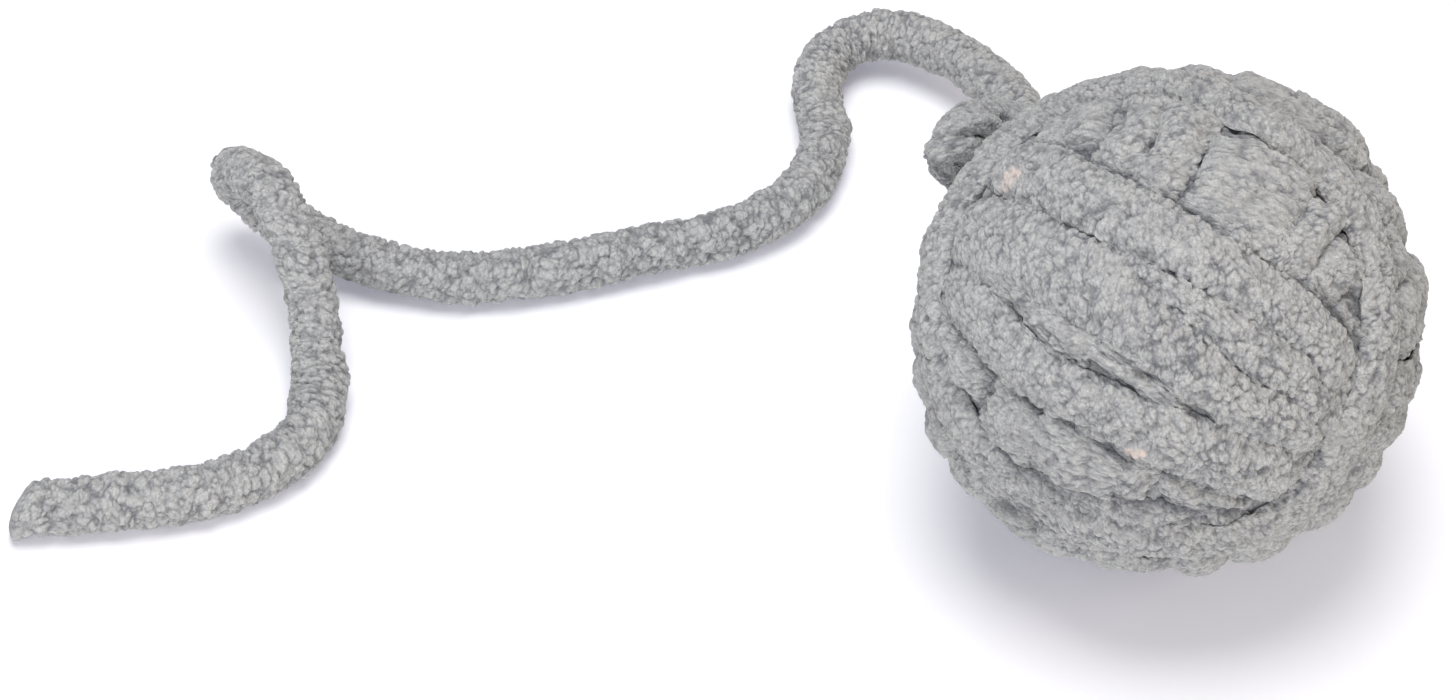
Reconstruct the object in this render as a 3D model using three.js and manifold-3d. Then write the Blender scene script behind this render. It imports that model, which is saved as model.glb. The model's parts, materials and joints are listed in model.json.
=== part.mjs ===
// Cat ball toy: thick chenille yarn wound on a foam core, with a limp tail of the same yarn.
// Millimetres, +Z up. The origin is on the floor under the middle of the ball, and the front is -Y.

import * as THREE from 'three';
import { mergeVertices } from 'three/addons/utils/BufferGeometryUtils.js';
import Module from 'manifold-3d';

const wasm = await Module();
wasm.setup();

// Driving dimensions of the ball
const BALL_DIAMETER = 80;
const FOAM_DIAMETER = 40;
const LAID_WIDTH = 8.2; // wound yarn, pressed flat between its neighbours
const LAID_THICKNESS = 6;
const LAYER_CLEARANCE = 0.7; // between one layer of turns and the next
const FOAM_CLEARANCE = 0.3; // between the foam core and the yarn wound on it
const EYE_DIAMETER = 9; // the hole left where a wound ball turns about its axis

// Driving dimensions of the tail and its knot
const YARN_DIAMETER = 8.6; // the same yarn, lying free
const KNOT_YARN_DIAMETER = 7.4; // pulled tight in the knot
const KNOT_BEND_RADIUS = 4.2;
const KNOT_SEAT_CLEARANCE = 0.3; // between the knot and the turns that it lies on
const KNOT_SWEEP = THREE.MathUtils.degToRad(168); // how far round the belt's end doubles back
const MEETING_CLEARANCE = 0.3; // between the faces of two stretches of one yarn
const SOCKET_CLEARANCE = 0.4; // round the ball end of each tail stretch
const TIP_DIAMETER = 4.5;
const TIP_LENGTH = 4;

// Counts
const STEPS_PER_LOOP = 24;
const SIDES_PER_LOOP = 6;
const TAIL_SIDES = 12;
const TAIL_STEP = 6; // length of one straight step along the tail
const KNOT_STEP = 2;
const KNOT_POINTS = 14;
const ROUTE_POINTS = 4; // places taken along the route between two of its points
const SPHERE_SIDES = 24;
const ROUND_END_SIDES = 16;
const MERGE_DISTANCE = 0.0001; // corners closer than this are one corner

// The ball's directions: the over layer turns about an axis that leans back to the right
const BELT_AXIS_AZIMUTH = THREE.MathUtils.degToRad(51.3);
const BELT_AXIS_ELEVATION = THREE.MathUtils.degToRad(37);
const FRONT_GUIDE = new THREE.Vector3(0, -1, 1);

// Latitude of a layer's turns at each quarter turn, in degrees: front, right, back and left in turn
const BELT_LANES = [
  -66, -50, -66, -66,
  -51, -35, -51, -30,
  -27, -20.5, -28, -14,
  -10, -7, -11, 1,
  4, 6.5, 4, 8,
];
const BELT_TURNS = 4.63;
const CLIMB_TURNS = 0.14; // the part of a turn in which the belt's end climbs to the knot
const CROWN_LANES = [
  66, 66, 65, 62,
  52, 52, 47, 17,
  18, 20, 25,
];
const CROWN_TURNS = 2.5;
const LANES_PER_TURN = 4;
const UNDER_LANES = [-66, 66];
const UNDER_TURNS = 8;
const TUCK_LATITUDE = 12; // how far a winding's end turns in towards the pole
const TUCK_TURNS = 0.4;
const SWELL_HEIGHT = 5.5; // how far the under layer rises where no turn of the over layer lies on it
const SWELL_START = 7; // distance from the middle of an over turn where the rise begins
const SWELL_END = 10.5;

// The tail's route after the knot, as it lies: down behind the ball and round an arch, along the
// floor, up and back in a standing hairpin, and down to the pinched tip. One stretch bends on the next.
const TAIL_ROUTE = {
  tail_arch: [
    [-17.8, 43.2, 37], [-16.2, 48.5, 30], [-15.8, 54.5, 23], [-16, 61, 16.8],
    [-17, 69, 12.6], [-19.5, 77.5, 10.3], [-23.8, 85.6, 9], [-29.5, 92.8, 8],
    [-36, 97.4, 7.4], [-42.4, 99.2, 6.8], [-48.4, 97.5, 6], [-52, 92.5, 5],
    [-52.8, 85.5, 4.5], [-51.5, 77, 4.4], [-53.5, 68, 4.4], [-58.5, 60, 4.4],
    [-67, 54.5, 4.4],
  ],
  tail_run: [
    [-79, 50.5, 4.4], [-102, 44.5, 4.4],
  ],
  tail_hairpin: [
    [-112.5, 43.5, 4.4], [-121.5, 45, 4.8], [-130.2, 47.6, 6], [-137.4, 50.7, 7.8],
    [-143.2, 54.2, 9.5], [-147.1, 56.9, 12], [-148.6, 56.4, 15.5], [-146, 52.9, 19],
    [-142.4, 48.2, 20.5], [-139.5, 43, 18.8],
  ],
  tail_end: [
    [-137, 37.5, 15], [-135, 31.5, 10.5], [-134, 25, 6.8], [-133.5, 17.5, 4.8],
    [-134.5, 10, 4.4], [-138, 4, 4.4], [-144.5, -1, 4.4], [-152.5, -4.5, 4.4],
    [-165, -6.2, 4.4], [-176.6, -7.6, 4.4],
  ],
};

// Colours and finishes
const YARN_GREY = 0xa4a4a5;
const UNDER_GREY = 0x8f9093;
const FOAM_WHITE = 0xe9e7e0;
const YARN_ROUGHNESS = 1;
const FOAM_ROUGHNESS = 0.9;

const overRadius = BALL_DIAMETER / 2 - LAID_THICKNESS / 2;
const underRadius = overRadius - LAID_THICKNESS - LAYER_CLEARANCE;
const innerRadius = underRadius - LAID_THICKNESS / 2 - LAYER_CLEARANCE;
const knotRadius = BALL_DIAMETER / 2 + KNOT_SEAT_CLEARANCE + KNOT_YARN_DIAMETER / 2;
const knotRun = MEETING_CLEARANCE + KNOT_YARN_DIAMETER;
const climbRadius = Math.sqrt(knotRadius ** 2 - knotRun ** 2);
const footDepth = YARN_DIAMETER / 10;

// Frames about which the layers turn: front is where turns are counted from
const beltAxis = new THREE.Vector3(
  Math.cos(BELT_AXIS_ELEVATION) * Math.cos(BELT_AXIS_AZIMUTH),
  Math.cos(BELT_AXIS_ELEVATION) * Math.sin(BELT_AXIS_AZIMUTH),
  Math.sin(BELT_AXIS_ELEVATION),
);
const front = FRONT_GUIDE.clone().addScaledVector(beltAxis, -FRONT_GUIDE.dot(beltAxis)).normalize();
const beltSide = beltAxis.clone().cross(front);
const overFrame = { front, side: beltSide, axis: beltAxis };
const underFrame = { front, side: beltAxis.clone().negate(), axis: beltSide };

function onBall(frame, turns, latitude, radius) {
  const angle = turns * Math.PI * 2;
  const level = Math.cos(latitude);
  return frame.front.clone().multiplyScalar(level * Math.cos(angle))
    .addScaledVector(frame.side, level * Math.sin(angle))
    .addScaledVector(frame.axis, Math.sin(latitude))
    .multiplyScalar(radius);
}

// Latitude at a place in a list of lanes, in degrees
function laneLatitude(lanes, place) {
  const before = Math.min(Math.floor(place), lanes.length - 2);
  return THREE.MathUtils.lerp(lanes[before], lanes[before + 1], place - before);
}

// How far an end that is tucked in leans towards the pole, at a distance in turns from that end
function tuck(turnsFromEnd) {
  return TUCK_LATITUDE * Math.max(0, 1 - turnsFromEnd / TUCK_TURNS) ** 2;
}

// One width straight on over the ball, from a place on it and the place before that
function straightOn(place, before) {
  const radius = place.length();
  const outward = place.clone().normalize();
  const along = place.clone().sub(before).projectOnPlane(outward).normalize();
  const angle = LAID_WIDTH / radius;
  return outward.multiplyScalar(Math.cos(angle) * radius).addScaledVector(along, Math.sin(angle) * radius);
}

// Points of one unbroken winding, with a straight run of one width at each end
function windingPoints(frame, turns, latitudeAt, radiusAt) {
  const steps = Math.round(turns * STEPS_PER_LOOP);
  const points = [];
  for (let step = 0; step <= steps; step += 1) {
    const turn = turns * step / steps;
    const outward = onBall(frame, turn, THREE.MathUtils.degToRad(latitudeAt(turn)), 1);
    points.push(outward.clone().multiplyScalar(radiusAt(turn, outward)));
  }
  const start = straightOn(points[0], points[1]);
  const end = straightOn(points[steps], points[steps - 1]);
  return [start, ...points, end];
}

// Joins six-sided rings, flat side out, into one closed tube
function windingGeometry(points) {
  const positions = [];
  const index = [];
  const sideAngle = Math.PI * 2 / SIDES_PER_LOOP;
  const cornerHeight = LAID_THICKNESS / 2 / Math.sin(sideAngle);
  points.forEach((point, place) => {
    const ahead = points[Math.min(place + 1, points.length - 1)];
    const behind = points[Math.max(place - 1, 0)];
    const along = ahead.clone().sub(behind).normalize();
    const across = point.clone().cross(along).normalize();
    const outward = along.clone().cross(across);
    for (let side = 0; side < SIDES_PER_LOOP; side += 1) {
      const angle = side * sideAngle;
      const corner = point.clone()
        .addScaledVector(across, Math.cos(angle) * LAID_WIDTH / 2)
        .addScaledVector(outward, Math.sin(angle) * cornerHeight);
      positions.push(corner.x, corner.y, corner.z);
    }
  });
  const rings = points.length;
  for (let ring = 0; ring < rings - 1; ring += 1) {
    for (let side = 0; side < SIDES_PER_LOOP; side += 1) {
      const next = (side + 1) % SIDES_PER_LOOP;
      const a = ring * SIDES_PER_LOOP + side;
      const b = ring * SIDES_PER_LOOP + next;
      const c = a + SIDES_PER_LOOP;
      const d = b + SIDES_PER_LOOP;
      index.push(a, b, d, a, d, c);
    }
  }
  const last = (rings - 1) * SIDES_PER_LOOP;
  for (let side = 1; side < SIDES_PER_LOOP - 1; side += 1) {
    index.push(0, side + 1, side);
    index.push(last, last + side, last + side + 1);
  }
  const geometry = new THREE.BufferGeometry();
  geometry.setAttribute('position', new THREE.Float32BufferAttribute(positions, 3));
  geometry.setIndex(index);
  return geometry;
}

// The least gap from a tube to itself, between points more than half a loop apart
function printLeastGap(name, points, width) {
  let least = Infinity;
  const apart = STEPS_PER_LOOP / 2;
  for (let one = 0; one < points.length; one += 1) {
    for (let other = one + apart; other < points.length; other += 1) {
      least = Math.min(least, points[one].distanceTo(points[other]));
    }
  }
  console.log(`${name}: least gap to itself ${(least - width).toFixed(2)} mm`);
}

function toSolid(geometry) {
  const bare = geometry.clone();
  bare.deleteAttribute('normal');
  bare.deleteAttribute('uv');
  const merged = mergeVertices(bare, MERGE_DISTANCE);
  const vertProperties = new Float32Array(merged.attributes.position.array);
  const triVerts = new Uint32Array(merged.index.array);
  return new wasm.Manifold(new wasm.Mesh({ numProp: 3, vertProperties, triVerts }));
}

function toGeometry(solid) {
  const mesh = solid.getMesh();
  const geometry = new THREE.BufferGeometry();
  geometry.setAttribute('position', new THREE.Float32BufferAttribute(mesh.vertProperties, 3));
  geometry.setIndex([...mesh.triVerts]);
  geometry.computeVertexNormals();
  return geometry;
}

function named(name, geometry, colour, roughness) {
  const material = new THREE.MeshStandardMaterial({ color: colour, roughness, metalness: 0 });
  const mesh = new THREE.Mesh(geometry, material);
  mesh.name = name;
  return mesh;
}

function roundSection(radius) {
  const corners = [];
  for (let side = 0; side < TAIL_SIDES; side += 1) {
    const angle = side / TAIL_SIDES * Math.PI * 2;
    corners.push(new THREE.Vector2(Math.cos(angle) * radius, Math.sin(angle) * radius));
  }
  return new THREE.Shape(corners);
}

function tubeSolid(points, radius, stepLength) {
  const extrudePath = new THREE.CatmullRomCurve3(points);
  const steps = Math.round(extrudePath.getLength() / stepLength);
  return toSolid(new THREE.ExtrudeGeometry(roundSection(radius), { steps, extrudePath }));
}

function sphereSolid(centre, radius) {
  const geometry = new THREE.SphereGeometry(radius, ROUND_END_SIDES, ROUND_END_SIDES / 2);
  geometry.translate(centre.x, centre.y, centre.z);
  return toSolid(geometry);
}

// Foam core: a plain ball
function foamCore() {
  const geometry = new THREE.SphereGeometry(FOAM_DIAMETER / 2, SPHERE_SIDES, SPHERE_SIDES / 2);
  return named('foam_core', geometry, FOAM_WHITE, FOAM_ROUGHNESS);
}

// Inner winding: the hidden layers as one plain shell, open at the eyes where the ball turned
function innerWinding() {
  const profile = [];
  const inner = FOAM_DIAMETER / 2 + FOAM_CLEARANCE;
  const arc = (radius, from, to) => {
    for (let step = 0; step <= SPHERE_SIDES / 2; step += 1) {
      const angle = THREE.MathUtils.lerp(from, to, step / (SPHERE_SIDES / 2));
      profile.push(new THREE.Vector2(Math.cos(angle) * radius, Math.sin(angle) * radius));
    }
  };
  const outerPole = Math.acos(EYE_DIAMETER / 2 / innerRadius);
  const innerPole = Math.acos(EYE_DIAMETER / 2 / inner);
  arc(innerRadius, -outerPole, outerPole);
  arc(inner, innerPole, -innerPole);
  profile.push(profile[0].clone());
  const shell = new THREE.LatheGeometry(profile, SPHERE_SIDES);
  const mesh = named('inner_winding', shell, UNDER_GREY, YARN_ROUGHNESS);
  mesh.quaternion.setFromUnitVectors(new THREE.Vector3(0, 1, 0), underFrame.axis);
  return mesh;
}

// Over layer: the crown about the far pole, and the belt, whose end climbs to the knot
const crownPoints = windingPoints(
  overFrame,
  CROWN_TURNS,
  (turn) => laneLatitude(CROWN_LANES, turn * LANES_PER_TURN) + tuck(turn),
  () => overRadius,
);
printLeastGap('crown_winding', crownPoints, LAID_WIDTH);

const beltPoints = windingPoints(
  overFrame,
  BELT_TURNS,
  (turn) => laneLatitude(BELT_LANES, turn * LANES_PER_TURN) - tuck(turn),
  (turn) => {
    const climb = THREE.MathUtils.smoothstep(turn, BELT_TURNS - CLIMB_TURNS, BELT_TURNS);
    return THREE.MathUtils.lerp(overRadius, climbRadius, climb);
  },
);
printLeastGap('belt_winding', beltPoints, LAID_WIDTH);

// Under winding: the layer that shows between the turns of the over layer, and swells up there
const overPaths = [crownPoints, beltPoints];

function distanceToOver(outward) {
  const place = outward.clone().multiplyScalar(overRadius);
  const nearest = new THREE.Vector3();
  let least = Infinity;
  overPaths.forEach((points) => {
    for (let step = 1; step < points.length; step += 1) {
      new THREE.Line3(points[step - 1], points[step]).closestPointToPoint(place, true, nearest);
      least = Math.min(least, nearest.distanceTo(place));
    }
  });
  return least;
}

const underPoints = windingPoints(
  underFrame,
  UNDER_TURNS,
  (turn) => laneLatitude(UNDER_LANES, turn / UNDER_TURNS) - tuck(turn) + tuck(UNDER_TURNS - turn),
  (turn, outward) => {
    const swell = THREE.MathUtils.smoothstep(distanceToOver(outward), SWELL_START, SWELL_END);
    return underRadius + SWELL_HEIGHT * swell;
  },
);
printLeastGap('under_winding', underPoints, LAID_WIDTH);

// The ball stands on its lowest turns, which are pressed flat where they meet the floor
const beltUncut = windingGeometry(beltPoints);
const crownUncut = windingGeometry(crownPoints);
beltUncut.computeBoundingBox();
crownUncut.computeBoundingBox();
const lowest = Math.min(beltUncut.boundingBox.min.z, crownUncut.boundingBox.min.z);
const ballHeight = -lowest - footDepth;
const underFloor = new THREE.BoxGeometry(BALL_DIAMETER * 2, BALL_DIAMETER * 2, BALL_DIAMETER);
underFloor.translate(0, 0, -ballHeight - BALL_DIAMETER / 2);
const floorCut = toSolid(underFloor);

const ball = new THREE.Group();
ball.position.z = ballHeight;
ball.add(
  foamCore(),
  innerWinding(),
  named('under_winding', windingGeometry(underPoints), UNDER_GREY, YARN_ROUGHNESS),
  named('crown_winding', toGeometry(toSolid(crownUncut).subtract(floorCut)), YARN_GREY, YARN_ROUGHNESS),
  named('belt_winding', toGeometry(toSolid(beltUncut).subtract(floorCut)), YARN_GREY, YARN_ROUGHNESS),
);

// Knot: the belt's end doubles back on itself and becomes the tail
const beltEnd = beltPoints[beltPoints.length - 1];
const beltLast = beltPoints[beltPoints.length - 2];
const knotAhead = beltEnd.clone().sub(beltLast).projectOnPlane(beltEnd.clone().normalize()).normalize();
const knotStart = beltEnd.clone().addScaledVector(knotAhead, MEETING_CLEARANCE);
const knotAcross = knotStart.clone().cross(knotAhead).normalize();
const knotCentre = knotStart.clone()
  .addScaledVector(knotAhead, KNOT_YARN_DIAMETER)
  .addScaledVector(knotAcross, KNOT_BEND_RADIUS);
const knotPoints = [knotStart];
for (let step = 0; step <= KNOT_POINTS; step += 1) {
  const angle = KNOT_SWEEP * step / KNOT_POINTS;
  knotPoints.push(knotCentre.clone()
    .addScaledVector(knotAcross, -Math.cos(angle) * KNOT_BEND_RADIUS)
    .addScaledVector(knotAhead, Math.sin(angle) * KNOT_BEND_RADIUS));
}
const knotOut = knotAhead.clone().multiplyScalar(Math.cos(KNOT_SWEEP))
  .addScaledVector(knotAcross, Math.sin(KNOT_SWEEP));
const knotEnd = knotPoints[KNOT_POINTS + 1].clone().addScaledVector(knotOut, KNOT_YARN_DIAMETER);
knotPoints.push(knotEnd);
const knotSolid = tubeSolid(knotPoints, KNOT_YARN_DIAMETER / 2, KNOT_STEP);
ball.add(named('knot', toGeometry(knotSolid), YARN_GREY, YARN_ROUGHNESS));

// Tail: one curve from the knot to the tip, cut into stretches that bend on each other
const yarnRadius = YARN_DIAMETER / 2;
const tailStart = knotEnd.clone().addScaledVector(knotOut, MEETING_CLEARANCE + yarnRadius);
tailStart.z += ballHeight;
const routePlaces = Object.values(TAIL_ROUTE).flat().map((place) => new THREE.Vector3(...place));
const tailPlaces = [tailStart, ...routePlaces];
const tailCurve = new THREE.CatmullRomCurve3(tailPlaces);
const tailEnd = tailPlaces.length - 1;

// Each stretch begins in a round end, which turns in the hollow end of the one before it
function tailStretch(from, to) {
  const points = [];
  const count = (to - from) * ROUTE_POINTS;
  for (let step = 0; step <= count; step += 1) {
    points.push(tailCurve.getPoint((from + (to - from) * step / count) / tailEnd));
  }
  const stretch = tubeSolid(points, yarnRadius, TAIL_STEP).add(sphereSolid(points[0], yarnRadius));
  if (to === tailEnd) {
    return stretch.add(pinchedTip());
  }
  return stretch.subtract(sphereSolid(points[count], yarnRadius + SOCKET_CLEARANCE));
}

// The free end, where the pile is drawn in to the core threads
function pinchedTip() {
  const root = yarnRadius - MEETING_CLEARANCE;
  const profile = [
    new THREE.Vector2(0, -TIP_LENGTH),
    new THREE.Vector2(root, -TIP_LENGTH),
    new THREE.Vector2(root, 0),
    new THREE.Vector2(TIP_DIAMETER / 2, TIP_LENGTH),
    new THREE.Vector2(0, TIP_LENGTH),
  ];
  const geometry = new THREE.LatheGeometry(profile, TAIL_SIDES);
  const turn = new THREE.Quaternion();
  turn.setFromUnitVectors(new THREE.Vector3(0, 1, 0), tailCurve.getTangent(1));
  geometry.applyQuaternion(turn);
  geometry.translate(...tailPlaces[tailEnd].toArray());
  return toSolid(geometry);
}

const tail = new THREE.Group();
let stretchStart = 0;
Object.entries(TAIL_ROUTE).forEach(([name, route]) => {
  const stretch = tailStretch(stretchStart, stretchStart + route.length);
  tail.add(named(name, toGeometry(stretch), YARN_GREY, YARN_ROUGHNESS));
  stretchStart += route.length;
});
console.log(`ball's middle ${ballHeight.toFixed(2)} mm up, tail ${tailCurve.getLength().toFixed(1)} mm long`);
console.log(`tail leaves the knot at ${tailStart.toArray().map((part) => part.toFixed(2))}`);

const toy = new THREE.Group();
toy.add(ball, tail);

export default toy;
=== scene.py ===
import json
import math
from collections import namedtuple

import bmesh
import bpy
import numpy as np
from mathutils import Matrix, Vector


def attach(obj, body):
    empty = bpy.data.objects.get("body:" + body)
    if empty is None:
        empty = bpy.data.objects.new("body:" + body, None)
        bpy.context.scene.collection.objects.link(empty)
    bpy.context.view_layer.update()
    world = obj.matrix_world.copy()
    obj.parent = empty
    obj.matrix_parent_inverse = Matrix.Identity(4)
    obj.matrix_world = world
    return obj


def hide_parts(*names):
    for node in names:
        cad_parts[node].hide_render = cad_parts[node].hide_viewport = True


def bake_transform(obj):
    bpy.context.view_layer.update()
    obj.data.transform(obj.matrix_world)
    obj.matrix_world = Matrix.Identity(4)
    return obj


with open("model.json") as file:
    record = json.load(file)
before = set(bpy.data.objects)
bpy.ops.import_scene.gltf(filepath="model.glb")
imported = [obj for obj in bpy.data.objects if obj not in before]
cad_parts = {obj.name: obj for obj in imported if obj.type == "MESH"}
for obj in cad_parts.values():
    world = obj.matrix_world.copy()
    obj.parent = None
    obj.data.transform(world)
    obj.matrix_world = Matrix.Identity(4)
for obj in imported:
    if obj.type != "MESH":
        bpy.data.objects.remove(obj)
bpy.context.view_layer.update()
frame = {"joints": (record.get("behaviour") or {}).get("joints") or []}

# Cat ball toy: thick chenille yarn wound on a foam core, with a limp tail of the same yarn.
# Metres, in the frame of the solids: the ball stands on the floor at the origin, its front to -Y.
MM = 0.001

# The ball, as its solids are wound
BALL_RADIUS = 40 * MM
BALL_MIDDLE = np.array([0, 0, 38.96]) * MM
LAID_WIDTH = 8.2 * MM
LAID_THICKNESS = 6 * MM
OVER_RADIUS = BALL_RADIUS - LAID_THICKNESS / 2
BELT_AXIS_AZIMUTH = math.radians(51.3)
BELT_AXIS_ELEVATION = math.radians(37)
FRONT_GUIDE = np.array([0, -1, 1])
BELT_TURNS = 4.63
BELT_STEPS_PER_TURN = 24
CLIMB_TURNS = 0.14

# The belt's last stretch, which leads into the knot: turns, and latitude in degrees
LAST_TURNS = (4.5, 4.75)
LAST_LATITUDES = (4, 8)

# The knot and the tail, as their solids lie
YARN_DIAMETER = 8.6 * MM
KNOT_YARN_DIAMETER = 7.4 * MM
KNOT_BEND_RADIUS = 4.2 * MM
KNOT_SWEEP = math.radians(168)
KNOT_BEND_POINTS = 40
KNOT_SEAT_CLEARANCE = 0.3 * MM
MEETING_CLEARANCE = 0.3 * MM
TIP_LENGTH = 4 * MM
TAIL_ROUTE = np.array([
    [-17.8, 43.2, 37], [-16.2, 48.5, 30], [-15.8, 54.5, 23], [-16, 61, 16.8],
    [-17, 69, 12.6], [-19.5, 77.5, 10.3], [-23.8, 85.6, 9], [-29.5, 92.8, 8],
    [-36, 97.4, 7.4], [-42.4, 99.2, 6.8], [-48.4, 97.5, 6], [-52, 92.5, 5],
    [-52.8, 85.5, 4.5], [-51.5, 77, 4.4], [-53.5, 68, 4.4], [-58.5, 60, 4.4],
    [-67, 54.5, 4.4], [-79, 50.5, 4.4], [-102, 44.5, 4.4],
    [-112.5, 43.5, 4.4], [-121.5, 45, 4.8], [-130.2, 47.6, 6], [-137.4, 50.7, 7.8],
    [-143.2, 54.2, 9.5], [-147.1, 56.9, 12], [-148.6, 56.4, 15.5], [-146, 52.9, 19],
    [-142.4, 48.2, 20.5], [-139.5, 43, 18.8],
    [-137, 37.5, 15], [-135, 31.5, 10.5], [-134, 25, 6.8], [-133.5, 17.5, 4.8],
    [-134.5, 10, 4.4], [-138, 4, 4.4], [-144.5, -1, 4.4], [-152.5, -4.5, 4.4],
    [-165, -6.2, 4.4], [-176.6, -7.6, 4.4],
]) * MM

# Camera: its angle and distance, and how far right and up of the picture's middle the ball lies
CAMERA_ELEVATION = math.radians(46)
CAMERA_DISTANCE = 900 * MM
BALL_RIGHT = 67.85 * MM
BALL_UP = 4.5 * MM
CAMERA_LENS = 144.3
SENSOR_WIDTH = 36
CLIP_NEAR = 0.01
CLIP_FAR = 20


def make_camera():
    rise, level = math.sin(CAMERA_ELEVATION), math.cos(CAMERA_ELEVATION)
    right, up, ahead = np.array([1, 0, 0]), np.array([0, rise, level]), np.array([0, level, -rise])
    data = bpy.data.cameras.new("camera")
    data.lens = CAMERA_LENS
    data.sensor_width = SENSOR_WIDTH
    data.sensor_fit = "HORIZONTAL"
    data.clip_start = CLIP_NEAR
    data.clip_end = CLIP_FAR
    camera = bpy.data.objects.new("camera", data)
    camera.location = BALL_MIDDLE - BALL_RIGHT * right - BALL_UP * up - CAMERA_DISTANCE * ahead
    camera.rotation_euler = (math.pi / 2 - CAMERA_ELEVATION, 0, 0)
    bpy.context.scene.collection.objects.link(camera)
    bpy.context.scene.camera = camera


make_camera()


# Small helpers for lines of points
def unit(vectors):
    return vectors / np.linalg.norm(vectors, axis=-1, keepdims=True)


def smoothstep(values, low, high):
    share = np.clip((values - low) / (high - low), 0, 1)
    return share * share * (3 - 2 * share)


def along_of(points):
    """Distance along a line of points."""
    return np.concatenate([[0], np.cumsum(np.linalg.norm(np.diff(points, axis=0), axis=1))])


def spaced(points, step):
    """The same line with points an even step apart."""
    along = along_of(points)
    places = np.linspace(0, along[-1], round(along[-1] / step) + 1)
    return np.stack([np.interp(places, along, points[:, k]) for k in range(3)], axis=1)


def smooth_line(places, per_span=40):
    """A centripetal curve through the places, as the solids' tail follows."""
    padded = np.concatenate([[2 * places[0] - places[1]], places, [2 * places[-1] - places[-2]]])
    gaps = np.sqrt(np.linalg.norm(np.diff(padded, axis=0), axis=1))[:, None]
    before, here, ahead = padded[:-2], padded[1:-1], padded[2:]
    slope = (here - before) / gaps[:-1] + (ahead - here) / gaps[1:]
    slope -= (ahead - before) / (gaps[:-1] + gaps[1:])
    t = np.linspace(0, 1, per_span, endpoint=False)[:, None]
    line = []
    for span in range(len(places) - 1):
        gap = gaps[span + 1]
        line.append((2 * t ** 3 - 3 * t ** 2 + 1) * places[span]
                    + (t ** 3 - 2 * t ** 2 + t) * slope[span] * gap
                    + (3 * t ** 2 - 2 * t ** 3) * places[span + 1]
                    + (t ** 3 - t ** 2) * slope[span + 1] * gap)
    return np.concatenate([*line, places[-1:]])


def nearest_distance(points, others, chunk=400):
    """Distance from each point to the nearest of the others."""
    found = []
    for start in range(0, len(points), chunk):
        part = points[start:start + chunk]
        found.append(np.sqrt(((part[:, None] - others[None]) ** 2).sum(2).min(1)))
    return np.concatenate(found)


# The directions about which the layers turn
def ball_frames():
    level = math.cos(BELT_AXIS_ELEVATION)
    axis = np.array([
        level * math.cos(BELT_AXIS_AZIMUTH),
        level * math.sin(BELT_AXIS_AZIMUTH),
        math.sin(BELT_AXIS_ELEVATION),
    ])
    front = unit(FRONT_GUIDE - axis * (FRONT_GUIDE @ axis))
    side = np.cross(axis, front)
    return (front, side, axis), (front, -axis, side)


OVER_FRAME, UNDER_FRAME = ball_frames()


def on_ball(ball_frame, turns, latitudes):
    """Directions from the ball's middle, for places in turns and degrees of latitude."""
    front, side, axis = ball_frame
    angle = (np.asarray(turns) * 2 * math.pi)[..., None]
    latitude = np.radians(latitudes)[..., None]
    return np.cos(latitude) * (np.cos(angle) * front + np.sin(angle) * side) + np.sin(latitude) * axis


# How each winding shows: the turn, the latitude in degrees and half the yarn's width in millimetres
BELT_ROWS = (
    (0, -80, 4.8), (0.25, -64, 4.8), (0.5, -68, 4.8), (0.75, -68, 4.8), (0.9, -63, 5),
    (1, -59.5, 5.2), (1.05, -54, 5), (1.083, -47, 4.8), (1.125, -40, 4.6), (1.25, -36, 4.8),
    (1.5, -51, 5), (1.7, -38, 5), (1.8, -24, 5), (1.833, -19.5, 4.9), (1.875, -24, 4.9),
    (1.917, -27.5, 4.7), (1.944, -28, 4.6), (2, -28.5, 4.6), (2.028, -26, 5.2), (2.056, -24.5, 5.2),
    (2.083, -23, 5.5), (2.125, -18.5, 5.9), (2.17, -16, 5.6), (2.25, -20.5, 5), (2.5, -28, 5),
    (2.72, -14, 5.4), (2.833, -5, 6.6), (2.875, -4.6, 6.8), (2.93, -4.2, 6.5), (2.972, -6, 5.2),
    (3, -7.75, 4.6), (3.056, -10.5, 4.1), (3.083, -9, 4), (3.111, -7.5, 3.8), (3.14, -7.5, 4.3),
    (3.25, -7, 4.8), (3.5, -11, 4.9), (3.75, 4, 4.6), (3.875, 6, 3.6), (3.93, 5.6, 2.6),
    (3.95, 4.6, 2.4), (4, 3.2, 2.9), (4.028, 3, 4), (4.056, 1.25, 3.9), (4.083, 1.3, 3.2),
    (4.111, -1, 3.5), (4.14, -3, 4), (4.25, 6.5, 4.8), (4.5, 4, 4.8), (4.63, 6.1, 4.6),
)
CROWN_ROWS = (
    (0, 84, 5), (0.25, 76, 5), (0.5, 72, 5.2), (0.75, 68, 5), (1, 57, 5.2),
    (1.25, 54, 5.2), (1.5, 47, 5.2), (1.75, 14.5, 5.2), (1.833, 12.8, 5.3), (1.875, 13, 5.3),
    (1.93, 13.7, 5.2), (2, 14.6, 4.9), (2.056, 13, 4.2), (2.083, 11.5, 3.9), (2.111, 8, 4.3),
    (2.14, 5, 4.6), (2.25, 18, 4.9), (2.5, 25, 4.8),
)
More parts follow.
